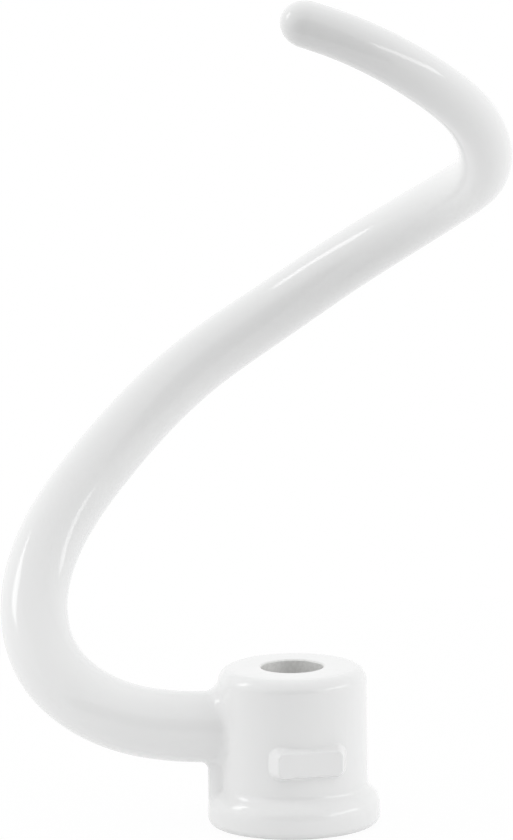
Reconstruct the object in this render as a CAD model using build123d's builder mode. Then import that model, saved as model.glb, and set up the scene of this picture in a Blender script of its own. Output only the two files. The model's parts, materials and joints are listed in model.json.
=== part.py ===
from build123d import *
import os
from math import cos, exp, radians, sin

# Spiral dough hook for a stand mixer, cast in one piece: bored hub, webbed root and tapered spiral arm.
# Millimetres. The origin lies on the hub axis in the collar's end face, where the mixer shaft enters.
# +Z runs along the hub towards the tip, the arm leaves the hub towards -X, and the raised pad faces -Y.

# Hub, turned about Z
hub_diameter = 35.0
hub_height = 37.5
hub_rim_radius = 3.2
collar_projection = 2.75
collar_band = 4.2
collar_shoulder = 3.9
collar_hollow = 2.0
collar_edge_radius = 1.7

# Bore for the mixer shaft, and the bayonet slot for the shaft's cross pin
bore_diameter = 14.5
bore_lip = 0.4
pin_diameter = 4.8
pin_clearance = 0.6
pin_reach = 4.6
pin_lock_height = 17.8
pin_lock_turn = 34.0

# Raised pad on the hub, over the pin's locking pocket
pad_width = 15.6
pad_height = 5.8
pad_projection = 1.4
pad_corner = 1.4
pad_edge_radius = 0.6
pad_foot_radius = 0.8
pad_draft = 20.0
pad_azimuth = 12.7

# Web under the root of the arm, narrower than the arm and just inside the collar
web_width = 12.6
web_setback = 0.1
web_crease_radius = 1.8

# Arm, a round rod that tapers from the hub to the tip, set just above the middle of the hub's plain wall.
# The fillet at its root takes a share of the hub's height above it.
arm_lift = 1.0
arm_root_diameter = 17.0
arm_middle_diameter = 14.3
arm_root_fillet_share = 0.65
arm_tip_diameter = 10.9
arm_tip_length = 6.2
bend_reach = 51.6
bend_droop = 1.2
bend_lead = 7.1

# Spiral, with the turn in degrees round the hub axis from -X, clockwise seen from the tip
coil_radius_wide = 65.5
coil_radius_narrow = 42.9
coil_closing_turn = 85.0
coil_start_turn = 26.0
coil_tip_turn = 263.2

# Rises of the spiral above the root of the arm, at even steps of turn
coil_rises = (35.0, 58.0, 75.5, 88.7, 101.4, 112.3, 121.3, 128.9, 138.6, 149.0, 158.4, 167.2, 173.7)
bend_stations = (0.0, 0.3, 0.6, 0.85)

# Sizes that follow from those above
hub_radius = hub_diameter / 2
collar_radius = hub_radius + collar_projection
bore_radius = bore_diameter / 2
wall_foot = collar_band + collar_shoulder + collar_hollow
wall_top = hub_height - hub_rim_radius
shoulder_projection = collar_projection * collar_shoulder / (collar_shoulder + collar_hollow)
pin_slot_width = pin_diameter + pin_clearance
pin_slot_reach = bore_radius + pin_reach
pin_lock_angle = pad_azimuth - 90 + pin_lock_turn / 2
pin_entry_angle = pin_lock_angle - pin_lock_turn
pad_distance = hub_radius + pad_projection
pad_direction = Vector(sin(radians(pad_azimuth)), -cos(radians(pad_azimuth)), 0)
pad_across = Vector(cos(radians(pad_azimuth)), sin(radians(pad_azimuth)), 0)
arm_height = (wall_foot + wall_top) / 2 + arm_lift
arm_root_radius = arm_root_diameter / 2
arm_root_fillet = arm_root_fillet_share * (hub_height - arm_height - arm_root_radius)
arm_tip_radius = arm_tip_diameter / 2
web_radius = web_width / 2
coil_turn_step = (coil_tip_turn - coil_start_turn) / (len(coil_rises) - 1)


def coil_point(station):
    """Centreline of the spiral at one of its stations."""
    turned = coil_turn_step * station
    radius = coil_radius_narrow + (coil_radius_wide - coil_radius_narrow) * exp(-turned / coil_closing_turn)
    turn = radians(coil_start_turn + turned)
    return Vector(-radius * cos(turn), radius * sin(turn), arm_height + coil_rises[station])


# Centreline of the arm: out of the hub wall, round and up through the bend, then along the spiral
coil_points = [coil_point(station) for station in range(len(coil_rises))]
arm_start = Vector(-bore_radius, 0, arm_height)
arm_leaves_hub = Vector(-hub_radius, 0, arm_height)
with BuildLine() as centreline:
    coil = Spline(*coil_points, mode=Mode.PRIVATE)
    bend = Bezier(
        arm_leaves_hub,
        arm_leaves_hub - Vector(bend_reach, 0, bend_droop),
        coil_points[0] - (coil % 0) * bend_lead,
        coil_points[0],
        mode=Mode.PRIVATE,
    )
    Spline(
        arm_start,
        *[bend @ station for station in bend_stations],
        *coil_points,
        tangents=(Vector(-1, 0, 0), coil % 1),
        tangent_scalars=(1, 1),
    )
arm_path = centreline.edges()[0]


def arm_plane(share):
    """Plane square to the arm at a share of its length, with its X axis level."""
    direction = arm_path % share
    return Plane(origin=arm_path @ share, x_dir=direction.cross(Vector(0, 0, 1)), z_dir=direction)


with BuildPart() as dough_hook:
    # Hub with its collar
    with BuildSketch(Plane.XZ):
        with BuildLine():
            foot = Polyline((0, hub_height), (0, 0), (collar_radius - collar_edge_radius, 0))
            edge_round = TangentArc(foot @ 1, (collar_radius, collar_edge_radius), tangent=(1, 0))
            band = Line(edge_round @ 1, (collar_radius, collar_band))
            blend_middle = (collar_radius - shoulder_projection, collar_band + collar_shoulder)
            shoulder = TangentArc(band @ 1, blend_middle, tangent=(0, 1))
            hollow = TangentArc(shoulder @ 1, (hub_radius, wall_foot), tangent=shoulder % 1)
            wall = Line(hollow @ 1, (hub_radius, wall_top))
            rim = TangentArc(wall @ 1, (hub_radius - hub_rim_radius, hub_height), tangent=(0, 1))
            Line(rim @ 1, foot @ 0)
        make_face()
    revolve(axis=Axis.Z)

    # Tapered arm with a casting fillet at its root
    with BuildSketch(arm_plane(0)):
        Circle(arm_root_radius)
    with BuildSketch(arm_plane(0.5)):
        Circle(arm_middle_diameter / 2)
    with BuildSketch(arm_plane(1)):
        Circle(arm_tip_radius)
    sweep(path=arm_path, multisection=True)
    fillet(dough_hook.edges(Select.NEW), arm_root_fillet)

    # Rounded tip, a half ellipsoid
    with BuildSketch(Plane(origin=arm_path @ 1, x_dir=arm_path % 1, z_dir=arm_plane(1).x_dir)):
        Ellipse(arm_tip_length, arm_tip_radius)
        Rectangle(arm_tip_length, arm_tip_radius, align=(Align.MIN, Align.MIN), mode=Mode.INTERSECT)
    revolve(axis=Axis(arm_path @ 1, arm_path % 1))

    # Web that carries the root of the arm down into the collar
    with BuildSketch(Plane.XY.offset(collar_edge_radius)):
        with Locations((web_radius - collar_radius + web_setback, 0)):
            Circle(web_radius)
    extrude(amount=arm_height - collar_edge_radius)
    fillet(dough_hook.edges(Select.NEW), web_crease_radius)

    # Raised pad
    pad_plane = Plane(
        origin=pad_direction * pad_distance + Vector(0, 0, pin_lock_height),
        x_dir=pad_across,
        z_dir=pad_direction,
    )
    with BuildSketch(pad_plane):
        RectangleRounded(pad_width, pad_height, pad_corner)
    extrude(amount=bore_radius - pad_distance, taper=-pad_draft)
    fillet(dough_hook.edges(Select.NEW), pad_foot_radius)
    pad_face = dough_hook.faces().filter_by(pad_plane)[0]
    fillet(pad_face.edges(), pad_edge_radius)

    # Bore with a broken edge at each end
    with Locations((0, 0, hub_height)):
        Hole(bore_radius)
    chamfer(dough_hook.edges(Select.LAST).filter_by(GeomType.CIRCLE), bore_lip)

    # Bayonet slot: up from the collar face, then round behind the pad to where the pin locks
    with BuildSketch():
        Rectangle(collar_radius, pin_slot_width, pin_entry_angle, align=(Align.MIN, Align.CENTER))
        Circle(pin_slot_reach, mode=Mode.INTERSECT)
    extrude(amount=pin_lock_height, mode=Mode.SUBTRACT)
    with BuildSketch(Plane.XY.offset(pin_lock_height)):
        Rectangle(collar_radius, pin_slot_width, pin_entry_angle, align=(Align.MIN, Align.CENTER))
        Rectangle(collar_radius, pin_slot_width, pin_lock_angle, align=(Align.MIN, Align.CENTER))
        make_hull()
        Circle(pin_slot_reach, mode=Mode.INTERSECT)
    extrude(amount=pin_slot_width / 2, both=True, mode=Mode.SUBTRACT)

dough_hook.part.label = "dough_hook"
os.makedirs("parts", exist_ok=True)
export_step(dough_hook.part, "parts/dough_hook.step")
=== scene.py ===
"""Looks of a white-coated spiral dough hook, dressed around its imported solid.

Metres, in the solid's own frame: the hub stands on its collar at the origin with +Z along it,
the arm leaves it towards -X, and the camera looks from the -Y side.
"""

import json
import logging
from dataclasses import dataclass
from enum import IntEnum
from math import asin, atan2, cos, hypot, pi, radians, sin, tau

import bmesh
import bpy
from mathutils import Matrix, Vector
from mathutils.bvhtree import BVHTree


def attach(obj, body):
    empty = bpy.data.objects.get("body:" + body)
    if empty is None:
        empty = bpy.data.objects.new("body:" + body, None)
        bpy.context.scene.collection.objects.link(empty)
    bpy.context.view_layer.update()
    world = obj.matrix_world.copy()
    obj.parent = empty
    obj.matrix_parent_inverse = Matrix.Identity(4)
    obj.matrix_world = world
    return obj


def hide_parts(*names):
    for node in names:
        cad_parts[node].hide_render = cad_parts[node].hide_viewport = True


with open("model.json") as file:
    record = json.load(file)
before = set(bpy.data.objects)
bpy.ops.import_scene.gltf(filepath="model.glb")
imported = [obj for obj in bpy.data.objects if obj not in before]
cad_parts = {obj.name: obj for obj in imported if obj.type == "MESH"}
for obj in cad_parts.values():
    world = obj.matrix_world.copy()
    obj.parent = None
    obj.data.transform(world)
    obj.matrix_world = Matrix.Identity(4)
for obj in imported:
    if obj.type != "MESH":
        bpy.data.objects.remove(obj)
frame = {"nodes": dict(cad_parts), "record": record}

MM_PER_METRE = 1000
UP = Vector((0, 0, 1)).freeze()
ARM_WAY = Vector((-1, 0, 0)).freeze()

Colour = tuple[float, float, float]
Source = bpy.types.NodeSocket | Vector | tuple[float, ...] | float
Sources = dict[str | int, Source]

log = logging.getLogger("dough_hook")


class Surface(IntEnum):
    """Finishes on the hook, in the order of its material slots."""

    COAT = 0
    BARE = 1


@dataclass(frozen=True)
class NodeBoard:
    """A node tree, with short forms for the nodes that the finishes and the studio share."""

    tree: bpy.types.NodeTree

    def add(self, kind: str, sources: Sources | None = None, **settings: str) -> bpy.types.Node:
        """Add a node.

        Args:
            kind: The shader node's type, without its prefix.
            sources: What its inputs get, by name or place.
            settings: The node's own choices, such as its operation.

        Returns:
            The node.
        """
        node = self.tree.nodes.new(f"ShaderNode{kind}")
        for setting, choice in settings.items():
            setattr(node, setting, choice)
        self.feed(node, sources or {})
        return node

    def feed(self, node: bpy.types.Node, sources: Sources) -> None:
        """Link sockets to a node's inputs, or set plain values there.

        Args:
            node: The node.
            sources: What its inputs get, by name or place.
        """
        for key, source in sources.items():
            if isinstance(source, bpy.types.NodeSocket):
                self.tree.links.new(source, node.inputs[key])
            else:
                node.inputs[key].default_value = source

    def maths(self, operation: str, first: Source, second: Source) -> bpy.types.NodeSocket:
        """Result of one operation on two values."""
        return self.add("Math", {0: first, 1: second}, operation=operation).outputs["Value"]

    def noise(self, place: Source, scale: float, detail: float) -> bpy.types.NodeSocket:
        """Value of a noise at a place, from 0 to 1."""
        noise = self.add("TexNoise", {"Vector": place, "Scale": scale, "Detail": detail})
        return noise.outputs["Fac"]

    def relief(self, height: Source, strength: float, depth: float) -> bpy.types.NodeSocket:
        """Normal of a surface that a height roughens to a depth."""
        bump = self.add("Bump", {"Strength": strength, "Distance": depth, "Height": height})
        return bump.outputs["Normal"]

    def shade(self, colour: Colour, drift: float, share: Source) -> bpy.types.NodeSocket:
        """Make a colour that drifts to both sides of its middle.

        Args:
            colour: The middle colour.
            drift: How far each channel goes to either side.
            share: Where between the two sides the colour lies, from 0 to 1.

        Returns:
            The colour's socket.
        """
        dark, pale = ((*[c + side * drift for c in colour], 1.0) for side in (-1, 1))
        mix = self.add("Mix", {"A": dark, "B": pale, "Factor": share}, data_type="RGBA")
        return mix.outputs["Result"]


def start_material(name: str) -> tuple[bpy.types.Material, NodeBoard, bpy.types.Node]:
    """Start a node material.

    Args:
        name: The material's name.

    Returns:
        The material, its node board and its principled shader.
    """
    material = bpy.data.materials.new(name)
    material.use_nodes = True
    tree = material.node_tree
    return material, NodeBoard(tree), tree.nodes["Principled BSDF"]


def place_object(name: str, data: bpy.types.ID) -> bpy.types.Object:
    """Put an object into the scene, at the origin.

    Args:
        name: The object's name.
        data: Its mesh, camera or lamp.

    Returns:
        The object.
    """
    made = bpy.data.objects.new(name, data)
    bpy.context.scene.collection.objects.link(made)
    return made


def place_mesh(
    name: str, mesh: bmesh.types.BMesh, *materials: bpy.types.Material
) -> bpy.types.Object:
    """Turn a modelled mesh into an object of the scene.

    Args:
        name: The object's name.
        mesh: The mesh, which is freed.
        materials: Its materials, in the order of their slots.

    Returns:
        The object.
    """
    data = bpy.data.meshes.new(name)
    mesh.to_mesh(data)
    mesh.free()
    for material in materials:
        data.materials.append(material)
    return place_object(name, data)


def bearing(azimuth: float, elevation: float) -> Vector:
    """Find a direction away from the hook.

    Args:
        azimuth: Degrees round the hub: 0 is the camera's side, and 90 the photograph's right.
        elevation: Degrees above level.

    Returns:
        The direction, of unit length.
    """
    turn, rise = radians(azimuth), radians(elevation)
    return Vector((sin(turn) * cos(rise), -cos(turn) * cos(rise), sin(rise)))


@dataclass(frozen=True)
class WhiteCoat:
    """Glossy white baked coat with a faint orange peel and a slight drift in tone."""

    name: str = "white_coat"
    colour: Colour = (0.85, 0.853, 0.852)
    drift: float = 0.012
    drift_scale: float = 22.0
    drift_detail: float = 3.0
    roughness: float = 0.1
    roughness_spread: float = 0.02
    peel_scale: float = 420.0
    peel_detail: float = 2.0
    peel_depth: float = 0.00001
    peel_strength: float = 0.25

    def material(self) -> bpy.types.Material:
        """Make the coat's node material.

        Returns:
            The material, reading Object coordinates.
        """
        material, board, shader = start_material(self.name)
        place = board.add("TexCoord").outputs["Object"]
        tone = board.noise(place, self.drift_scale, self.drift_detail)
        peel = board.noise(place, self.peel_scale, self.peel_detail)
        gloss = board.add("MapRange", {
            "Value": tone,
            "To Min": self.roughness - self.roughness_spread,
            "To Max": self.roughness + self.roughness_spread,
        })
        board.feed(shader, {
            "Base Color": board.shade(self.colour, self.drift, tone),
            "Roughness": gloss.outputs["Result"],
            "Normal": board.relief(peel, self.peel_strength, self.peel_depth),
        })
        return material


@dataclass(frozen=True)
class BareMetal:
    """Bare cast aluminium in the bore: dull, mottled and pitted, with faint turning marks."""

    name: str = "bare_metal"
    colour: Colour = (0.79, 0.79, 0.78)
    drift: float = 0.16
    mottle_scale: float = 1100.0
    mottle_detail: float = 4.0
    metallic: float = 0.35
    roughness: float = 0.55
    mark_scale: float = 900.0
    mark_distortion: float = 3.0
    mark_depth: float = 0.00003
    mark_strength: float = 0.5

    def material(self) -> bpy.types.Material:
        """Make the bare metal's node material.

        Returns:
            The material, reading Object coordinates.
        """
        material, board, shader = start_material(self.name)
        place = board.add("TexCoord").outputs["Object"]
        mottle = board.noise(place, self.mottle_scale, self.mottle_detail)
        marks = board.add("TexWave", {
            "Vector": place,
            "Scale": self.mark_scale,
            "Distortion": self.mark_distortion,
        }, bands_direction="Z")
        pitted = board.maths("ADD", marks.outputs["Fac"], mottle)
        board.feed(shader, {
            "Base Color": board.shade(self.colour, self.drift, mottle),
            "Metallic": self.metallic,
            "Roughness": self.roughness,
            "Normal": board.relief(pitted, self.mark_strength, self.mark_depth),
        })
        return material


@dataclass
class Ring:
    """One round section of the arm."""

    centre: Vector
    direction: Vector
    radius: float


@dataclass
class HookCasting:
    """The casting: hub, pad, web and root as the solid has them, and the arm in even rings."""

    node: str = "dough_hook"
    slot: str = "white_coat"
    name: str = "hook_casting"
    weld: float = 0.000001

    # The planes where the hub's mesh ends, and the arm's height there as a share of the hub's
    arm_start: float = 0.0275
    above_hub: float = 0.0015
    root_share: float = 0.6

    # The arm's rings, and the probes that measure them from inside
    ring_step: float = 0.0012
    ring_sides: int = 64
    ring_smoothing: int = 4
    probes: int = 32
    centring_passes: int = 5

    # The rounded tip, which a small flat closes
    tip_length: float = 0.0062
    tip_rings: int = 14
    tip_close: float = 0.98

    # The bare metal's reach round the axis, and between the hub's ends
    bore_lip: float = 0.0004
    slot_reach: float = 0.0122
    end_margin: float = 0.00005

    crease_angle: float = 32.0

    def build(self) -> bpy.types.Object:
        """Model the casting and put it in place of the solid.

        Returns:
            The finished piece.
        """
        solid = bmesh.new()
        solid.from_mesh(frame["nodes"][self.node].data)
        bmesh.ops.remove_doubles(solid, verts=solid.verts[:], dist=self.weld)
        rings = self.trace_arm(solid)
        self.keep_hub(solid)
        mouth = [edge for edge in solid.edges if edge.is_boundary]
        first = self.extrude_arm(solid, rings)
        bmesh.ops.bridge_loops(solid, edges=mouth + first)
        bmesh.ops.recalc_face_normals(solid, faces=solid.faces[:])
        self.mark_bare(solid)
        return self.finish(solid)

    def hub_height(self) -> float:
        """Height of the hub, from the bore's stated wall and its broken edges."""
        bore = next(m for m in frame["record"]["mounts"] if m["name"] == "shaft_bore")
        return bore["dims"]["length_mm"] / MM_PER_METRE + 2 * self.bore_lip

    def trace_arm(self, solid: bmesh.types.BMesh) -> list[Ring]:
        """Follow the arm from its root to its tip, measuring its round sections from inside.

        Args:
            solid: The merged copy of the solid.

        Returns:
            Even sections along the arm, up to where the tip starts to round off.
        """
        tree = BVHTree.FromBMesh(solid)
        direction = ARM_WAY
        centre = Vector((-self.arm_start, 0, self.hub_height() * self.root_share))
        rings: list[Ring] = []
        while True:
            centre, radius = self.centre_section(tree, centre, direction)
            if rings:
                direction = (centre - rings[-1].centre).normalized()
            before_round = tree.ray_cast(centre, direction)[3] - self.tip_length
            if before_round < self.ring_step:
                rings.append(Ring(centre + direction * before_round, direction, radius))
                return self.even_out(rings)
            rings.append(Ring(centre, direction, radius))
            centre = centre + direction * self.ring_step

    def centre_section(
        self, tree: BVHTree, inside: Vector, direction: Vector
    ) -> tuple[Vector, float]:
        """Centre a round section that a point lies in.

        Args:
            tree: The solid's faces.
            inside: A point inside the section.
            direction: The section's normal.

        Returns:
            The section's centre and its mean radius.
        """
        across = direction.orthogonal().normalized()
        turn = Matrix.Rotation(tau / self.probes, 3, direction)
        for _ in range(self.centring_passes):
            hits, probe = [], across.copy()
            for _ in range(self.probes):
                hits.append(tree.ray_cast(inside, probe))
                probe = turn @ probe
            centre = sum((hit[0] for hit in hits), Vector()) / self.probes
            radius = sum(hit[3] for hit in hits) / self.probes
            # Hits crowd on the near side, so their mean lies only half way to the centre
            inside = inside + (centre - inside) * 2
        return inside, radius

    def even_out(self, rings: list[Ring]) -> list[Ring]:
        """Smooth the traced sections along the arm.

        Args:
            rings: The sections as they were measured.

        Returns:
            The smoothed sections, with directions along the smoothed centreline.
        """
        centres = [ring.centre for ring in rings]
        radii = [ring.radius for ring in rings]
        for _ in range(self.ring_smoothing):
            for row in (centres, radii):
                row[1:-1] = [(a + 2 * b + c) / 4 for a, b, c in zip(row, row[1:], row[2:])]
        befores = [centres[0], *centres[:-1]]
        afters = [*centres[1:], centres[-1]]
        ways = [(after - before).normalized() for before, after in zip(befores, afters)]
        return [Ring(*section) for section in zip(centres, ways, radii)]

    def keep_hub(self, solid: bmesh.types.BMesh) -> None:
        """Cut the arm off the hub's mesh, just past its root.

        Args:
            solid: The merged copy of the solid, which is cut.
        """
        cuts = (
            (UP * (self.hub_height() + self.above_hub), UP),
            (ARM_WAY * self.arm_start, ARM_WAY),
        )
        for point, normal in cuts:
            parts = solid.verts[:] + solid.edges[:] + solid.faces[:]
            bmesh.ops.bisect_plane(
                solid, geom=parts, plane_co=point, plane_no=normal, clear_outer=True
            )

    def extrude_arm(
        self, mesh: bmesh.types.BMesh, rings: list[Ring]
    ) -> list[bmesh.types.BMEdge]:
        """Extrude a circle from section to section, and close it by a rounded tip.

        Args:
            mesh: The mesh that gets the arm.
            rings: The sections, of which the first is left to the bridge from the hub.

        Returns:
            The edges of the arm's open end, at its root.
        """
        frames = self.ring_frames(rings[1:] + self.tip_sections(rings[-1]))
        made = bmesh.ops.create_circle(
            mesh, segments=self.ring_sides, radius=1.0, matrix=frames[0]
        )
        first = edges = list({edge for vert in made["verts"] for edge in vert.link_edges})
        for before, after in zip(frames, frames[1:]):
            grown = bmesh.ops.extrude_edge_only(mesh, edges=edges)["geom"]
            verts = [part for part in grown if isinstance(part, bmesh.types.BMVert)]
            edges = [part for part in grown if isinstance(part, bmesh.types.BMEdge)]
            edges = [edge for edge in edges if all(vert in verts for vert in edge.verts)]
            bmesh.ops.transform(mesh, matrix=after @ before.inverted(), verts=verts)
        bmesh.ops.edgeloop_fill(mesh, edges=edges)
        return first

    def ring_frames(self, rings: list[Ring]) -> list[Matrix]:
        """Place a unit circle on each section, carried along the arm without twist.

        Args:
            rings: The sections.

        Returns:
            One matrix for each section.
        """
        frames = []
        way = rings[0].direction
        turn = UP.rotation_difference(way)
        for ring in rings:
            turn = way.rotation_difference(ring.direction) @ turn
            way = ring.direction
            scale = Matrix.Diagonal((ring.radius, ring.radius, ring.radius, 1))
            frames.append(Matrix.Translation(ring.centre) @ turn.to_matrix().to_4x4() @ scale)
        return frames

    def tip_sections(self, last: Ring) -> list[Ring]:
        """Round off the arm's end as a half ellipsoid.

        Args:
            last: The section where the rounding starts.

        Returns:
            The sections of the rounded end.
        """
        caps = []
        for i in range(1, self.tip_rings + 1):
            angle = pi / 2 * self.tip_close * i / self.tip_rings
            centre = last.centre + last.direction * self.tip_length * sin(angle)
            caps.append(Ring(centre, last.direction, last.radius * cos(angle)))
        return caps

    def mark_bare(self, mesh: bmesh.types.BMesh) -> None:
        """Give the bore and the pin slot the bare metal's slot, and shade every face smooth.

        Args:
            mesh: The casting.
        """
        low, high = self.end_margin, self.hub_height() - self.end_margin
        for face in mesh.faces:
            middle = face.calc_center_median()
            inner = hypot(middle.x, middle.y) < self.slot_reach and low < middle.z < high
            face.material_index = Surface.BARE if inner else Surface.COAT
            face.smooth = True

    def finish(self, mesh: bmesh.types.BMesh) -> bpy.types.Object:
        """Turn the mesh into a piece with its finishes, in place of the solid.

        Args:
            mesh: The casting, which is freed.

        Returns:
            The piece.
        """
        piece = place_mesh(self.name, mesh, WhiteCoat().material(), BareMetal().material())
        piece.data.set_sharp_from_angle(angle=radians(self.crease_angle))
        normals = piece.modifiers.new("even_normals", "WEIGHTED_NORMAL")
        normals.keep_sharp = True
        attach(piece, "root")
        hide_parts(self.node)
        return piece


@dataclass(frozen=True)
class PhotoCamera:
    """The photograph's viewpoint: a long lens, slightly rolled, that looks down on the hook."""

    name: str = "photo_camera"
    image_width: int = 513
    image_height: int = 840
    distance: float = 2.5
    elevation: float = 13.15
    roll: float = 0.8
    metres_per_pixel: float = 0.000236
    origin_column: float = 294.16
    origin_row: float = 821.6
    sensor: float = 36.0

    def build(self) -> bpy.types.Object:
        """Make the camera and give it to the scene.

        Returns:
            The camera.
        """
        focal = self.distance / self.metres_per_pixel
        rise, roll = radians(self.elevation), radians(self.roll)
        column = self.origin_column - self.image_width / 2
        row = self.origin_row - self.image_height / 2
        down = rise - atan2(column * sin(roll) + row * cos(roll), focal)
        left = asin((column * cos(roll) - row * sin(roll)) / (focal * cos(rise)))
        turns = ((left, "Z"), (pi / 2 - down, "X"), (-roll, "Z"))
        pan, tilt, lean = (Matrix.Rotation(angle, 3, axis) for angle, axis in turns)
        data = bpy.data.cameras.new(self.name)
        data.sensor_width = self.sensor
        data.lens = focal * self.sensor / max(self.image_width, self.image_height)
        camera = place_object(self.name, data)
        camera.location = self.distance * bearing(0, self.elevation)
        camera.rotation_euler = (pan @ tilt @ lean).to_euler()
        bpy.context.scene.camera = camera
        return camera


@dataclass(frozen=True)
class Softbox:
    """A flat soft lamp aimed at the middle of the hook."""

    name: str
    azimuth: float
    elevation: float
    power: float
    width: float
    height: float
    distance: float = 1.2
    aim_height: float = 0.1

    def build(self) -> bpy.types.Object:
        """Hang the lamp.

        Returns:
            The lamp.
        """
        away = bearing(self.azimuth, self.elevation)
        data = bpy.data.lights.new(self.name, "AREA")
        data.shape = "RECTANGLE"
        data.size = self.width
        data.size_y = self.height
        data.energy = self.power
        lamp = place_object(self.name, data)
        lamp.location = UP * self.aim_height + away * self.distance
        lamp.rotation_euler = away.to_track_quat("Z", "Y").to_euler()
        return lamp


@dataclass(frozen=True)
class WhiteStudio:
    """A white tent, open to the camera, over a white table top, with soft lamps at its sides."""

    floor_name: str = "studio_floor"
    floor_side: float = 0.5
    floor_drop: float = 0.0002
    floor_colour: float = 0.92
    floor_white: float = 0.95

    # The tent's light and its opening's, which way that rises, and its soft edge from its axis
    tent_name: str = "studio_surround"
    tent_level: float = 1.0
    opening_level: float = 0.28
    opening_rise: float = -14.0
    opening_inner: float = 44.0
    opening_outer: float = 54.0

    softboxes: tuple[Softbox, ...] = (
        Softbox("left_wash", -80, 24, 0.7, 0.9, 0.9),
        Softbox("left_softbox", -93, 32, 1.3, 0.26, 0.5, distance=1.15),
        Softbox("right_softbox", 74, 12, 1.7, 1.0, 0.2),
    )

    def build(self) -> None:
        """Make the floor, the surround and the lamps."""
        self.floor()
        self.surround()
        for softbox in self.softboxes:
            softbox.build()

    def seen_as_white(self, board: NodeBoard) -> bpy.types.NodeSocket:
        """Tell the rays that see the background itself from those that light the hook.

        Args:
            board: The node board to add to.

        Returns:
            A socket that is 1 for camera, glossy and transmission rays.
        """
        path = board.add("LightPath")
        shown = path.outputs["Is Camera Ray"]
        for kind in ("Is Glossy Ray", "Is Transmission Ray"):
            shown = board.maths("MAXIMUM", shown, path.outputs[kind])
        return shown

    def floor(self) -> bpy.types.Object:
        """Lay the floor a hair below the collar.

        Returns:
            The floor.
        """
        mesh = bmesh.new()
        bmesh.ops.create_grid(mesh, x_segments=1, y_segments=1, size=self.floor_side / 2)
        bmesh.ops.translate(mesh, verts=mesh.verts[:], vec=(0, 0, -self.floor_drop))
        floor = place_mesh(self.floor_name, mesh, self.floor_material())
        return floor

    def floor_material(self) -> bpy.types.Material:
        """Make the floor's white, which shows the hook's shadow faintly.

        Returns:
            The material.
        """
        material, board, shader = start_material(self.floor_name)
        # The glow is only seen, and isn't sampled as a lamp
        material.cycles.emission_sampling = "NONE"
        board.feed(shader, {
            "Base Color": (*[self.floor_colour] * 3, 1.0),
            "Roughness": 1.0,
            "Specular IOR Level": 0.0,
        })
        mix = board.add("MixShader", {
            0: board.maths("MULTIPLY", self.seen_as_white(board), self.floor_white),
            1: shader.outputs["BSDF"],
            2: board.add("Emission").outputs["Emission"],
        })
        board.feed(board.tree.nodes["Material Output"], {"Surface": mix.outputs["Shader"]})
        return material

    def surround(self) -> None:
        """Set the tent's white, which lights the hook from all round but the opening."""
        world = bpy.data.worlds.new(self.tent_name)
        bpy.context.scene.world = world
        world.use_nodes = True
        board = NodeBoard(world.node_tree)
        towards = board.add("VectorMath", {
            0: board.add("TexCoord").outputs["Generated"],
            1: bearing(0, self.opening_rise),
        }, operation="DOT_PRODUCT")
        tent = board.add("MapRange", {
            "Value": towards.outputs["Value"],
            "From Min": cos(radians(self.opening_outer)),
            "From Max": cos(radians(self.opening_inner)),
            "To Min": 1.0,
            "To Max": 0.0,
        }, interpolation_type="SMOOTHSTEP").outputs["Result"]
        light = board.add("MapRange", {
            "Value": tent,
            "To Min": self.opening_level,
            "To Max": self.tent_level,
        }).outputs["Result"]
        # The camera sees white everywhere, and reflections see it wherever the tent is
        camera_ray = board.add("LightPath").outputs["Is Camera Ray"]
        backdrop = board.maths("MULTIPLY", self.seen_as_white(board), tent)
        shown = board.maths("MAXIMUM", camera_ray, backdrop)
        level = board.add("Mix", {"Factor": shown, "A": light, "B": 1.0}, data_type="FLOAT")
        board.feed(board.tree.nodes["Background"], {
            "Color": (1, 1, 1, 1),
            "Strength": level.outputs["Result"],
        })


def main() -> None:
    """Dress the hook, report it, and set up the studio."""
    logging.basicConfig(level=logging.INFO)
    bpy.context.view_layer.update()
    bpy.context.scene.view_settings.view_transform = "Standard"
    hook = HookCasting().build()
    log.info("%s: %d faces", hook.name, len(hook.data.polygons))
    WhiteStudio().build()
    PhotoCamera().build()


if __name__ == "__main__":
    main()
